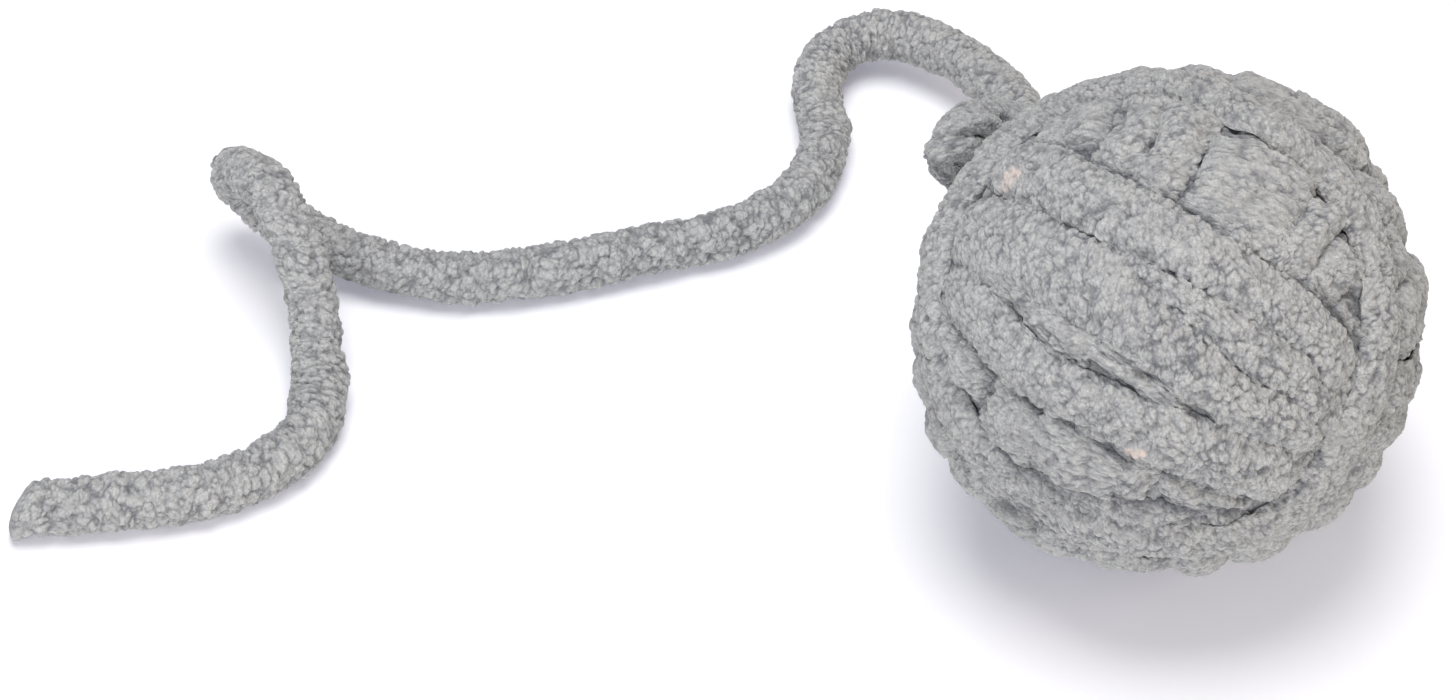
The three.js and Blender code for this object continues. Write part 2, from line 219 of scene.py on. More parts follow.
UNDER_ROWS = (
    (0, -82, 4.8), (0.5, -71, 5), (1, -63, 5.4), (1.5, -54, 5.6), (1.88, -48.5, 7.2),
    (2, -48, 5.6), (2.5, -41, 5.6), (2.88, -31.7, 4.4), (3, -34, 4.2), (3.12, -38, 5.2),
    (3.5, -25, 5.8), (3.88, -21, 4.7), (4, -22.3, 5.2), (4.12, -23.5, 5.7), (4.5, -10, 5.8),
    (4.88, -1.6, 9.5), (5, -3.5, 8.4), (5.12, -5.4, 7.8), (5.5, 7, 5.8), (5.88, 15.8, 3.3),
    (6, 12, 3.2), (6.12, 9.1, 3.1), (6.5, 24, 5.8), (6.88, 25.3, 3.8), (7, 22, 4.1),
    (7.12, 19, 4.4), (7.5, 38, 5.6), (7.88, 38, 5.2), (8, 35, 5), (8.12, 31.4, 4.9),
    (8.5, 50, 5.6), (9, 54, 5.6), (9.5, 65, 5.4), (10, 74, 4.8),
)
# Where the belt sinks between its neighbours: the turn and the depth in millimetres
SUNK_ROWS = ((3.55, 0), (3.7, 3), (3.9, 4), (3.955, 1.6), (4, 0.4), (4.1, 0.3), (4.2, 0))
# One more turn frames the front: longitude and latitude in degrees, from its start at the lower left
HOOP_PLACES = (
    (-22, -66), (-45, -59), (-64, -44), (-75, -23), (-78, 2), (-76, 25), (-64, 46), (-42, 57),
    (-16, 56), (5, 55), (24, 52), (40, 40), (50, 19), (54, -4), (58, -24), (53, -40), (36, -53),
    (15, -62), (-10, -69), (-34, -75),
)
HOOP_HALF_WIDTH = 5 * MM
# A small slack bight shows above the belt
BIGHT_PLACES = ((-6, 21), (-2, 23.5), (5, 25.5), (11, 25.5), (16, 23), (19, 20))
BIGHT_HALF_WIDTH = 3 * MM
OVER_SHOWN_RADIUS = 36.5 * MM
HOOP_SHOWN_RADIUS = 37.1 * MM
BIGHT_SHOWN_RADIUS = 36.6 * MM
# The layer below swells up between the turns over it
UNDER_WIDTH_SHARE = 0.93
UNDER_SHOWN_RADIUS = 30.6 * MM
UNDER_SHOWN_SWELL = 5.7 * MM
UNDER_SWELL_START = 3 * MM
UNDER_SWELL_END = 7.2 * MM
# Turns that pass under the hoop are pressed down, and the ends of a loose turn are tucked in
PRESS_DEPTH = 1.7 * MM
PRESS_FULL = 4.5 * MM
PRESS_REACH = 9 * MM
END_TUCK = 3 * MM
HOOP_TUCK_LENGTH = 14 * MM
BIGHT_TUCK_LENGTH = 5 * MM
# The yarn's first end stands a little proud
LOOSE_RISE = 1.8 * MM
LOOSE_LENGTH = 7 * MM
# Where the ball is fuller or flatter than a sphere: direction, rise in millimetres, spread in degrees
BULGES = (
    ((-0.766, -0.462, -0.447), 1.3, 22), ((0.616, 0.567, 0.548), 1.7, 19),
    ((0.94, 0.246, 0.238), -2, 8), ((0.998, 0.04, 0.04), 0.9, 10),
    ((-0.174, 0.708, 0.684), -0.7, 18), ((0, -0.719, -0.695), -0.8, 15),
    ((0.34, 0.07, 0.938), 1.1, 8),
)


def bulge(outward):
    """How much fuller than a sphere the ball is in the directions."""
    rise = np.zeros(len(outward))
    for direction, amount, spread in BULGES:
        angle = np.degrees(np.arccos(np.clip(outward @ unit(np.array(direction)), -1, 1)))
        rise += amount * MM * np.exp(-(angle / spread) ** 2)
    return rise


# Lines of yarn
FINE_STEPS_PER_TURN = 720
SOFTEN_TURNS = 0.016


def fine_turns(turns):
    return np.linspace(0, turns, round(turns * FINE_STEPS_PER_TURN) + 1)


def softened(values):
    """Values along a line with their corners rounded off."""
    reach = round(SOFTEN_TURNS * FINE_STEPS_PER_TURN)
    window = np.hanning(2 * reach + 1)
    padded = np.concatenate([np.full(reach, values[0]), values, np.full(reach, values[-1])])
    return np.convolve(padded, window / window.sum(), mode="valid")


def shown_rows(rows, turns):
    """Latitude and half width of a winding's yarn at the turns."""
    table = np.array(rows)
    latitude = softened(np.interp(turns, table[:, 0], table[:, 1]))
    return latitude, softened(np.interp(turns, table[:, 0], table[:, 2])) * MM


def tucked_line(places, shown_radius, half_width, tuck_length):
    """A turn laid on top, whose two ends go in between the others."""
    longitude, latitude = np.array(places).T
    outward = unit(smooth_line(on_ball(OVER_FRAME, longitude / 360, latitude)))
    along = along_of(outward * shown_radius)
    to_end = np.minimum(along, along[-1] - along)
    radius = shown_radius - END_TUCK * (1 - smoothstep(to_end, 0, tuck_length))
    return outward * radius[:, None], np.full(len(outward), half_width)


def pressed(points, hoop):
    """How far turns are pressed down where the hoop passes over them."""
    return PRESS_DEPTH * (1 - smoothstep(nearest_distance(points, hoop), PRESS_FULL, PRESS_REACH))


KNOT_RADIUS = BALL_RADIUS + KNOT_SEAT_CLEARANCE + KNOT_YARN_DIAMETER / 2
CLIMB_RADIUS = math.sqrt(KNOT_RADIUS ** 2 - (MEETING_CLEARANCE + KNOT_YARN_DIAMETER) ** 2)


def climbing(turns, radius):
    """Radius of the belt, whose end climbs to the knot."""
    return radius + (CLIMB_RADIUS - radius) * smoothstep(turns, BELT_TURNS - CLIMB_TURNS, BELT_TURNS)


def belt_line(hoop):
    turns = fine_turns(BELT_TURNS)
    latitude, half_width = shown_rows(BELT_ROWS, turns)
    outward = on_ball(OVER_FRAME, turns, latitude)
    along = along_of(outward * OVER_SHOWN_RADIUS)
    radius = climbing(turns, OVER_SHOWN_RADIUS)
    radius += LOOSE_RISE * (1 - smoothstep(along, 0, LOOSE_LENGTH))
    radius -= np.interp(turns, *np.array(SUNK_ROWS).T) * MM
    radius -= pressed(outward * OVER_SHOWN_RADIUS, hoop)
    return outward * radius[:, None], half_width


def crown_line(hoop):
    turns = fine_turns(CROWN_ROWS[-1][0])
    latitude, half_width = shown_rows(CROWN_ROWS, turns)
    outward = on_ball(OVER_FRAME, turns, latitude)
    radius = OVER_SHOWN_RADIUS - pressed(outward * OVER_SHOWN_RADIUS, hoop)
    return outward * radius[:, None], half_width


def under_line(over_points):
    turns = fine_turns(UNDER_ROWS[-1][0])
    latitude, half_width = shown_rows(UNDER_ROWS, turns)
    half_width = half_width * UNDER_WIDTH_SHARE
    outward = on_ball(UNDER_FRAME, turns, latitude)
    distance = nearest_distance(outward * OVER_SHOWN_RADIUS, over_points)
    swell = smoothstep(distance, UNDER_SWELL_START, UNDER_SWELL_END)
    return outward * (UNDER_SHOWN_RADIUS + UNDER_SHOWN_SWELL * swell)[:, None], half_width


def knot_line():
    """The bight in which the belt's end doubles back, from the belt's last turn to the tail."""
    steps = round(BELT_TURNS * BELT_STEPS_PER_TURN)
    turns = BELT_TURNS * np.array([steps - 1, steps]) / steps
    outward = on_ball(OVER_FRAME, turns, np.interp(turns, LAST_TURNS, LAST_LATITUDES))
    before, last = outward * climbing(turns, OVER_RADIUS)[:, None]
    radius = np.linalg.norm(last)
    outward = unit(last)
    along = last - before
    along = unit(along - outward * (along @ outward))
    angle = LAID_WIDTH / radius
    end = radius * (math.cos(angle) * outward + math.sin(angle) * along)
    outward = unit(end)
    ahead = end - last
    ahead = unit(ahead - outward * (ahead @ outward))
    start = end + ahead * MEETING_CLEARANCE
    across = unit(np.cross(start, ahead))
    centre = start + ahead * KNOT_YARN_DIAMETER + across * KNOT_BEND_RADIUS
    sweep = np.linspace(0, KNOT_SWEEP, KNOT_BEND_POINTS)[:, None]
    bend = centre + KNOT_BEND_RADIUS * (np.sin(sweep) * ahead - np.cos(sweep) * across)
    out = math.cos(KNOT_SWEEP) * ahead + math.sin(KNOT_SWEEP) * across
    tail_start = bend[-1] + out * (KNOT_YARN_DIAMETER + MEETING_CLEARANCE + YARN_DIAMETER / 2)
    return np.concatenate([[last, end, start], bend, [tail_start]])


# Even scatter: whole numbers that stir a cell's place and a seed into shares from 0 to 1
STIR_X = 73856093
STIR_Y = 19349663
STIR_Z = 83492791
STIR_SEED = 2654435
STIR_FIRST = 1103515245
STIR_ADDED = 12345
STIR_SHIFT = 13
STIR_SECOND = 1597334677
STIR_LIMIT = 0x7fffffff
SHARE_SHIFT = 8
SHARE_STEPS = 65536


def scattered(cells, seed):
    """Three even random numbers for each whole-numbered cell."""
    x, y, z = cells.T
    mixed = (x * STIR_X) ^ (y * STIR_Y) ^ (z * STIR_Z) ^ (seed * STIR_SEED)
    numbers = []
    for turn in range(3):
        mixed = (mixed * STIR_FIRST + STIR_ADDED + turn) & STIR_LIMIT
        mixed = mixed ^ (mixed >> STIR_SHIFT)
        mixed = (mixed * STIR_SECOND) & STIR_LIMIT
        numbers.append(((mixed >> SHARE_SHIFT) & (SHARE_STEPS - 1)) / SHARE_STEPS)
    return np.stack(numbers, axis=1)


# A narrow tuft counts as further off than a wide one, so that tufts differ in size
FAR_OFF = 9.0
NARROWEST_TUFT = 1.3
TUFT_VARIES = 0.5
NUMBER_STIR = (7.3, 3.1)


def tuft_distance(points, size, seed):
    """Distances to the nearest two scattered tuft middles, in tuft sizes, and the nearest one's number."""
    places = points / size
    home = np.floor(places).astype(np.int64)
    nearest = np.full(len(points), FAR_OFF)
    second = np.full(len(points), FAR_OFF)
    number = np.zeros(len(points))
    steps = (-1, 0, 1)
    for offset in [(x, y, z) for x in steps for y in steps for z in steps]:
        cell = home + offset
        middle = scattered(cell, seed)
        distance = np.linalg.norm(cell + middle - places, axis=1)
        distance = distance * (NARROWEST_TUFT - TUFT_VARIES * middle[:, 2])
        own_number = (middle[:, 0] * NUMBER_STIR[0] + middle[:, 1] * NUMBER_STIR[1]) % 1
        second = np.minimum(second, np.maximum(nearest, distance))
        number = np.where(distance < nearest, own_number, number)
        nearest = np.minimum(nearest, distance)
    return nearest, second, number


def soft_noise(points, size, seed):
    """Smooth noise from -1 to 1, with lumps of about the given size."""
    places = points / size
    home = np.floor(places).astype(np.int64)
    share = places - home
    share = share * share * (3 - 2 * share)
    total = np.zeros(len(points))
    for corner in [(x, y, z) for x in (0, 1) for y in (0, 1) for z in (0, 1)]:
        weight = np.prod(np.where(np.array(corner), share, 1 - share), axis=1)
        total += weight * scattered(home + np.array(corner), seed)[:, 0]
    return total * 2 - 1


# Chenille pile: round tufts that crowd each other, each of smaller curls, on soft clumps and broad lumps.
# curly is the curls' share of a tuft and how strong the painted shade between curls is. gap is the width
# of the gaps between tufts, in tuft sizes, that are painted dark as shade, gap_shade is how dark that
# painted shade is, and patchy and broken say how much of it is missing.
Pile = namedtuple("Pile", (
    "tuft_size", "clump_size", "lump_size", "tuft_rise", "clump_rise", "lump_rise",
    "curly", "gap", "gap_shade", "patchy", "broken", "seed",
))
TUFT_STEEPNESS = 1.8
DOME_EDGE = 0.01
LOWEST_TUFT = 0.6
BODY_HEIGHT = 0.6
# In tuft sizes: how far tufts drift and ruffle, and the sizes of ruffles, curls and breaks in the gaps.
# CURL_GAP is the width of the painted shade between curls, in curl sizes.
TUFT_DRIFT = 0.5
TUFT_RUFFLE = 0.2
CURL_RUFFLE = 0.06
RUFFLE_SIZE = 0.45
CURL_SIZE = 0.5
CURL_GAP = 0.3
BREAK_SIZE = 0.8
# Between which levels of the noise a gap's painted shade fades in, and over which heights a tuft is
# painted lighter towards its top, as painted light.
GAP_PATCH = 5 * MM
PATCH_LEVELS = (-0.6, 0.5)
BREAK_LEVELS = (-0.55, 0.3)
CROWN_LEVELS = (0.3, 0.9)
CROWN_SHADE = 0.16
# Added to a pile's seed, so that each kind of unevenness is its own
DRIFT_SEEDS = (1, 2, 3)
RUFFLE_SEEDS = (4, 5, 6)
CURL_SEED = 7
BREAK_SEED = 8
PATCH_SEED = 9
LUMP_SEED = 20
SQUEEZE_SEED = 30
WANDER_SEED = 31


def drifting(points, size, seed, added):
    """Smooth noise in three directions."""
    return np.stack([soft_noise(points, size, seed + k) for k in added], axis=1)


def domed(distance):
    """Height of a round top at a distance from its middle."""
    return np.sqrt(np.clip(1 - TUFT_STEEPNESS * distance ** 2, DOME_EDGE, 1))


def pile_height(points, pile):
    """Height of tufts and of their clumps, and the pile's painted shade and light, for places on bare
    yarn.
    """
    seed = pile.seed
    drift = drifting(points, pile.clump_size, seed, DRIFT_SEEDS)
    ruffle = drifting(points, pile.tuft_size * RUFFLE_SIZE, seed, RUFFLE_SEEDS)
    warped = points + (drift * TUFT_DRIFT + ruffle * TUFT_RUFFLE) * pile.tuft_size
    nearest, second, number = tuft_distance(warped, pile.tuft_size, seed)
    dome = domed(nearest)
    rolled = points + (drift * TUFT_DRIFT + ruffle * CURL_RUFFLE) * pile.tuft_size
    near, next_near, _ = tuft_distance(rolled, pile.tuft_size * CURL_SIZE, seed + CURL_SEED)
    curl = domed(near)
    curl_gap = 1 - smoothstep(next_near - near, 0, CURL_GAP)
    tufts = (1 - pile.curly) * dome * (LOWEST_TUFT + (1 - LOWEST_TUFT) * number) + pile.curly * curl
    patch = smoothstep(soft_noise(points, GAP_PATCH, seed + PATCH_SEED), *PATCH_LEVELS)
    whole = soft_noise(points, pile.tuft_size * BREAK_SIZE, seed + BREAK_SEED)
    whole = smoothstep(whole, *BREAK_LEVELS)
    shown = (1 - pile.patchy * (1 - patch)) * (1 - pile.broken * (1 - whole))
    gap = (1 - smoothstep(second - nearest, 0, pile.gap)) * shown
    crown = (1 - pile.curly) * dome + pile.curly * curl
    # Painted shade in the gaps between tufts and curls, and painted light on the tufts' tops
    painted_lightness = (1 - pile.gap_shade * gap) * (1 - pile.curly * curl_gap)
    painted_lightness *= 1 - CROWN_SHADE + CROWN_SHADE * smoothstep(crown, *CROWN_LEVELS)
    return tufts, drift[:, 0] / 2, painted_lightness


# Meshes of yarn: a strand has its line, the directions out and across, half its sizes and a place along it
Strand = namedtuple("Strand", "line outward across half_width half_height along")
SURFACE_RADIUS = 39.5 * MM
FLOOR_CLEARANCE = 0.05 * MM
WELD_DISTANCE = 1e-7
# Pile fills a crease until a share of its depth is left, and there the tufts turn outwards
FILL_START = 1.5 * MM
CREASE_SHARE = 0.4
CREASE_LIFT = 1.5
CREASE_LIFT_REACH = 1.5 * MM
# Creases stay deeper in a few holes. Places are in degrees of longitude and latitude.
HOLE_SHARE = 0.6
HOLE_REACH = 3 * MM
HOLE_PLACES = (
    (42, 16), (45, -9), (-38, -16), (-2, -18), (13, -17), (30, -33), (-47, -57), (-15, -53),
    (-30, 9.5), (-24, 8), (-19, 7), (-8, 6.4), (-2, 7), (4, 9), (10, 9), (17, 7), (25, 5),
    (22, -16.5), (29, -15), (37, -12), (-22.7, -41), (-22.7, -47), (5.3, -41), (16, -39),
    (-40, -30), (-18, -34),
)
PLACE_CORE = 0.4
# Tufts bridge the creases in patches and at these places, and stitch them over in smaller ones.
# Where bridged, a crease's painted shade is lighter by a share.
BRIDGE_REACH = 4.5 * MM
BRIDGE_PATCH = 6 * MM
BRIDGE_LEVELS = (0.2, 0.7)
BRIDGE_SEED = 71
BRIDGE_FILLS = 0.8
BRIDGE_STARTS_SOONER = 0.6
BRIDGE_LIGHTER = 0.75
BRIDGE_PLACES = (
    (-44, -14), (-33, -17), (-27, -18.5), (-12, -13.2), (-6, -13.6), (6, -14.8), (19, -16),
    (-10.5, 51), (73.6, 20.9), (36.5, 30), (-47, -79), (-75, -77),
)
STITCH_PATCH = 2.3 * MM
STITCH_LEVELS = (0, 0.55)
STITCH_SEED = 72
STITCH_SHARE = 0.5
STITCH_LOST_IN_HOLE = 0.5
# Creases are painted darker, as painted shade, from one depth to another
CREVICE_START = 0.9 * MM
CREVICE_END = 3.2 * MM
CREVICE_SHADE = 0.7
# Core thread that shows through the pile: directions from the ball's middle, and sizes in millimetres
THREAD_MARKS = (
    ((-0.662, 0.02, 0.749), 1.8), ((-0.628, 0.018, 0.778), 1.5),
    ((-0.2, -0.95, 0.24), 1.4), ((-0.17, -0.952, 0.252), 1.1),
)
THREAD_CORE = 0.5
THREAD_FADE = 1.2
THREAD_STRENGTH = 0.8
THREAD_FRAY = 0.6
THREAD_FRAY_SIZE = 0.8 * MM
THREAD_SEED = 61


def tube_mesh(name, rings, sides):
    """A flat sheet of faces, to be rolled up into a tube, with each corner's ring and side."""
    shape = bmesh.new()
    bmesh.ops.create_grid(shape, x_segments=rings - 1, y_segments=sides, size=0.5)
    mesh = bpy.data.meshes.new(name)
    shape.to_mesh(mesh)
    shape.free()
    flat = np.zeros(len(mesh.vertices) * 3, np.float32)
    mesh.vertices.foreach_get("co", flat)
    flat = flat.reshape(-1, 3) + 0.5
    ring = np.rint(flat[:, 0] * (rings - 1)).astype(int)
    side = np.rint(flat[:, 1] * sides).astype(int) % sides
    return mesh, ring, side


def close_tube(mesh, points):
    """Puts the corners in place, welds the seam, closes both ends and faces everything outwards."""
    mesh.vertices.foreach_set("co", points.astype(np.float32).ravel())
    shape = bmesh.new()
    shape.from_mesh(mesh)
    bmesh.ops.remove_doubles(shape, verts=shape.verts, dist=WELD_DISTANCE)
    rim = [edge for edge in shape.edges if edge.is_boundary]
    bmesh.ops.edgeloop_fill(shape, edges=rim)
    bmesh.ops.recalc_face_normals(shape, faces=shape.faces)
    for face in shape.faces:
        face.smooth = True
    shape.to_mesh(mesh)
    shape.free()


def carried_frames(line, first_outward):
    """Directions out and across along a line, carried along it without twisting."""
    along = unit(np.gradient(line, axis=0))
    outward = np.zeros_like(line)
    current = first_outward
    for place in range(len(line)):
        current = unit(current - along[place] * (current @ along[place]))
        outward[place] = current
    return outward, np.cross(along, outward)


def ball_frames_along(line):
    """Directions straight out of the ball, and across the yarn."""
    outward = unit(line)
    return outward, unit(np.cross(outward, np.gradient(line, axis=0)))


def near_places(points, places, reach):
    """How near the ball's places are, from 0 beyond their reach to 1."""
    longitude, latitude = np.array(places).T
    middles = on_ball(OVER_FRAME, longitude / 360, latitude) * BALL_RADIUS
    return 1 - smoothstep(nearest_distance(points, middles, 20000), PLACE_CORE * reach, reach)


def filled(points):
    """Bare yarn raised by the pile in its creases, with the depth before and how far it is bridged."""
    outward = unit(points)
    depth = SURFACE_RADIUS + bulge(outward) - np.linalg.norm(points, axis=1)
    above = outward * BALL_RADIUS
    hole = near_places(above, HOLE_PLACES, HOLE_REACH)
    bridge = smoothstep(soft_noise(above, BRIDGE_PATCH, BRIDGE_SEED), *BRIDGE_LEVELS)
    bridge = np.maximum(bridge, near_places(above, BRIDGE_PLACES, BRIDGE_REACH)) * (1 - hole)
    stitch = STITCH_SHARE * smoothstep(soft_noise(above, STITCH_PATCH, STITCH_SEED), *STITCH_LEVELS)
    bridge = np.maximum(bridge, stitch * (1 - STITCH_LOST_IN_HOLE * hole))
    share = (CREASE_SHARE + (HOLE_SHARE - CREASE_SHARE) * hole) * (1 - BRIDGE_FILLS * bridge)
    start = FILL_START * (1 - BRIDGE_STARTS_SOONER * bridge)
    raised = (1 - share) * np.maximum(depth - start, 0)
    return points + outward * raised[:, None], depth, bridge


def thread_shown(points):
    """Where the core thread shows through, from 0 to 1."""
    shown = np.zeros(len(points))
    outward = unit(points)
    for direction, size in THREAD_MARKS:
        distance = np.linalg.norm(outward - unit(np.array(direction)), axis=1) * BALL_RADIUS
        mark = 1 - smoothstep(distance, THREAD_CORE * size * MM, THREAD_FADE * size * MM)
        shown = np.maximum(shown, mark)
    fray = THREAD_STRENGTH + THREAD_FRAY * soft_noise(points, THREAD_FRAY_SIZE, THREAD_SEED)
    return np.clip(shown * fray, 0, 1)


def set_attribute(mesh, name, values):
    attribute = mesh.attributes.new(name, "FLOAT", "POINT")
    attribute.data.foreach_set("value", values.astype(np.float32))


def placed(name, mesh, material):
    """A mesh as a piece of the scene, in its material."""
    mesh.materials.append(material)
    piece = bpy.data.objects.new(name, mesh)
    bpy.context.scene.collection.objects.link(piece)
    return piece


def yarn_piece(name, strand, pile, sides, offset, material, squareness=1, crowding=0):
    """One stretch of chenille. Crowding is for the ball: it puts more corners on the outer side."""
    mesh, ring, side = tube_mesh(name, len(strand.line), sides)
    turn = side / sides * 2 * math.pi
    angle = turn + crowding * np.cos(turn)
    wide, high = strand.half_width[ring], strand.half_height[ring]
    level, rise = (np.sign(v) * np.abs(v) ** squareness for v in (np.cos(angle), np.sin(angle)))
    across, outward = strand.across[ring], strand.outward[ring]
    bare = strand.line[ring] + across * (level * wide)[:, None] + outward * (rise * high)[:, None]
    normal = unit(across * (np.cos(angle) / wide)[:, None] + outward * (np.sin(angle) / high)[:, None])
    places = bare if crowding else np.stack([strand.along[ring], level * wide, rise * high], axis=1)
    tufts, clumps, painted_lightness = pile_height(places, pile)
    proud = pile.tuft_rise * (tufts - BODY_HEIGHT) + pile.clump_rise * clumps
    proud += pile.lump_rise * soft_noise(places, pile.lump_size, pile.seed + LUMP_SEED)
    if crowding:
        raised, depth, bridge = filled(bare)
        # Creases are painted darker with depth, as painted shade, less where tufts bridge them
        shade = CREVICE_SHADE * smoothstep(depth - proud, CREVICE_START, CREVICE_END)
        painted_lightness = painted_lightness * (1 - shade * (1 - BRIDGE_LIGHTER * bridge))
        lift = CREASE_LIFT * smoothstep(depth, FILL_START, FILL_START + CREASE_LIFT_REACH)
        normal = unit(normal + unit(bare) * lift[:, None])
        bare = raised
        set_attribute(mesh, "thread", thread_shown(bare))
    set_attribute(mesh, "pile", painted_lightness)
    points = bare + normal * proud[:, None] + offset
    points[:, 2] = np.maximum(points[:, 2], FLOOR_CLEARANCE)
    close_tube(mesh, points)
    return placed(name, mesh, material)


# Materials
def set_inputs(made, inputs):
    for name, value in inputs.items():
        made.inputs[name].default_value = value


def node(tree, kind, inputs=None, **settings):
    """A shader node with its settings and the values of its inputs."""
    made = tree.nodes.new(kind)
    for name, value in settings.items():
        setattr(made, name, value)
    set_inputs(made, inputs or {})
    return made


def colour_ramp(tree, stops):
    """A ramp through colours, each at its place from 0 to 1."""
    made = node(tree, "ShaderNodeValToRGB")
    elements = made.color_ramp.elements
    for element, stop in ((elements[0], stops[0]), (elements[1], stops[-1])):
        element.position, element.color = stop
    for place, colour in stops[1:-1]:
        elements.new(place).color = colour
    return made


def plain_material(name, inputs):
    """A new material with its shader's values, its tree and its shader."""
    material = bpy.data.materials.new(name)
    material.use_nodes = True
    shader = material.node_tree.nodes["Principled BSDF"]
    set_inputs(shader, inputs)
    return material, material.node_tree, shader


COOL_GREEN_SHARE = 0.6


def grey(level, cool):
    """A grey of the given brightness on screen, from 0 to 255, a little blue where cool."""
    channels = [level - cool, level - cool * COOL_GREEN_SHARE, level + cool]
    linear = [((c / 255 + 0.055) / 1.055) ** 2.4 for c in channels]
    return (*linear, 1)


CHENILLE = {"Roughness": 1, "Specular IOR Level": 0.1, "Sheen Weight": 0.25, "Sheen Roughness": 0.5}
# The pile's painted shade in the gaps between tufts, a little blue, its body and its tips, painted
# lighter:
# lightness, brightness on screen and how cool
PILE_STOPS = ((0.05, 98, 5), (0.55, 168, 1), (0.92, 190, 0))
FIBRES = {"Scale": 1600, "Detail": 3}
CURLS = {"Scale": 2000}
CURL_STRAY = 0.5 * MM
# Over these curl heights the colour runs from painted shade to painted light, and the lit tops' share
CURL_HEIGHTS = (-0.3, 0.4)
CURL_TOP_SHARE = 0.8
THREAD_PINK = (0.72, 0.61, 0.56, 1)


def chenille(name, tone, curl_shade, curl_depth):
    """Chenille of a tone; its fine curls get painted shade and light by a share and stand out by a depth.
    """
    material, tree, shader = plain_material(name, CHENILLE)
    link = tree.links.new
    # The pile attribute carries the painted shade and light of tufts, curls and creases
    pile = node(tree, "ShaderNodeAttribute", attribute_name="pile")
    tones = colour_ramp(tree, [(place, grey(level * tone, cool)) for place, level, cool in PILE_STOPS])
    link(pile.outputs["Fac"], tones.inputs["Fac"])
    place = node(tree, "ShaderNodeTexCoord")
    fibres = node(tree, "ShaderNodeTexNoise", FIBRES)
    link(place.outputs["Object"], fibres.inputs["Vector"])
    stray = node(tree, "ShaderNodeVectorMath", {1: (CURL_STRAY,) * 3}, operation="MULTIPLY_ADD")
    link(fibres.outputs["Color"], stray.inputs[0])
    link(place.outputs["Object"], stray.inputs[2])
    curls = node(tree, "ShaderNodeTexVoronoi", CURLS)
    link(stray.outputs["Vector"], curls.inputs["Vector"])
    height = node(tree, "ShaderNodeMath", {1: -1}, operation="MULTIPLY_ADD")
    link(curls.outputs["Distance"], height.inputs[0])
    link(fibres.outputs["Fac"], height.inputs[2])
    # The curls are painted darker where low and lighter where high, as painted shade and light
    shade = node(tree, "ShaderNodeMapRange", {
        "From Min": CURL_HEIGHTS[0], "From Max": CURL_HEIGHTS[1],
        "To Min": 1 - curl_shade, "To Max": 1 + curl_shade * CURL_TOP_SHARE,
    })
    link(height.outputs["Value"], shade.inputs["Value"])
    shaded = node(tree, "ShaderNodeMix", {"Factor": 1}, data_type="RGBA", blend_type="MULTIPLY")
    link(tones.outputs["Color"], shaded.inputs["A"])
    link(shade.outputs["Result"], shaded.inputs["B"])
    thread = node(tree, "ShaderNodeAttribute", attribute_name="thread")
    threaded = node(tree, "ShaderNodeMix", {"B": THREAD_PINK}, data_type="RGBA")
    link(thread.outputs["Fac"], threaded.inputs["Factor"])
    link(shaded.outputs["Result"], threaded.inputs["A"])
    link(threaded.outputs["Result"], shader.inputs["Base Color"])
    bump = node(tree, "ShaderNodeBump", {"Strength": 1, "Distance": curl_depth})
    link(height.outputs["Value"], bump.inputs["Height"])
    link(bump.outputs["Normal"], shader.inputs["Normal"])
    return material


FOAM_FINISH = {"Roughness": 0.95, "Specular IOR Level": 0.15}
# Foam colour from a pore's hollow, painted darker as painted shade, to its pale rim
FOAM_STOPS = ((0, (0.62, 0.59, 0.53, 1)), (0.5, (0.81, 0.79, 0.74, 1)))
PORES = {"Scale": 900}
PORE_BUMP = {"Strength": 0.6, "Distance": 0.4 * MM}


def open_foam(name):
    """Pale foam with small pores, painted darker in their hollows as painted shade."""
    material, tree, shader = plain_material(name, FOAM_FINISH)
    link = tree.links.new
    place = node(tree, "ShaderNodeTexCoord")
    pores = node(tree, "ShaderNodeTexVoronoi", PORES)
    link(place.outputs["Object"], pores.inputs["Vector"])
    tones = colour_ramp(tree, FOAM_STOPS)
    link(pores.outputs["Distance"], tones.inputs["Fac"])
    link(tones.outputs["Color"], shader.inputs["Base Color"])
    bump = node(tree, "ShaderNodeBump", PORE_BUMP)
    link(pores.outputs["Distance"], bump.inputs["Height"])
    link(bump.outputs["Normal"], shader.inputs["Normal"])
    return material


FOAM = open_foam("foam")
WOUND_YARN = chenille("wound_chenille", tone=0.97, curl_shade=0.13, curl_depth=0.25 * MM)
FREE_YARN = chenille("free_chenille", tone=0.98, curl_shade=0.12, curl_depth=0.25 * MM)

# Pieces of the ball
BALL_PILE = Pile(
    tuft_size=1.85 * MM, clump_size=3.4 * MM, lump_size=9 * MM,
    tuft_rise=1.2 * MM, clump_rise=0.4 * MM, lump_rise=0.25 * MM,
    curly=0.42, gap=0.28, gap_shade=0.7, patchy=0.4, broken=0.65, seed=11,
)
CROWN_PILE = BALL_PILE._replace(seed=12)
UNDER_PILE = BALL_PILE._replace(lump_size=4.5 * MM, lump_rise=0.9 * MM, seed=13)
HOOP_PILE = BALL_PILE._replace(seed=14)
BIGHT_PILE = BALL_PILE._replace(seed=15)
PIECE_LENGTH = 380 * MM
OUTER_CROWDING = 0.6
# A section of yarn is round, or fuller at its corners
ROUND_SECTION = 1
FULL_SECTION = 0.9
# Half height, step along the yarn and sides of the outer turns and of those below
OVER_TURN = (3.1 * MM, 0.23 * MM, 54)
UNDER_TURN = (3.3 * MM, 0.3 * MM, 40)
# Yarn never lies quite straight
WANDER = 0.5 * MM
WANDER_LENGTH = 10 * MM
SQUEEZE = 0.08
SQUEEZE_LENGTH = 6.5 * MM
# One point in so many is enough to measure how near another turn is
THINNED = 4


def dress(piece, node_name):
    """A piece of the ball, in place of its solid."""
    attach(piece, "ball")
    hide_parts(node_name)
    return piece


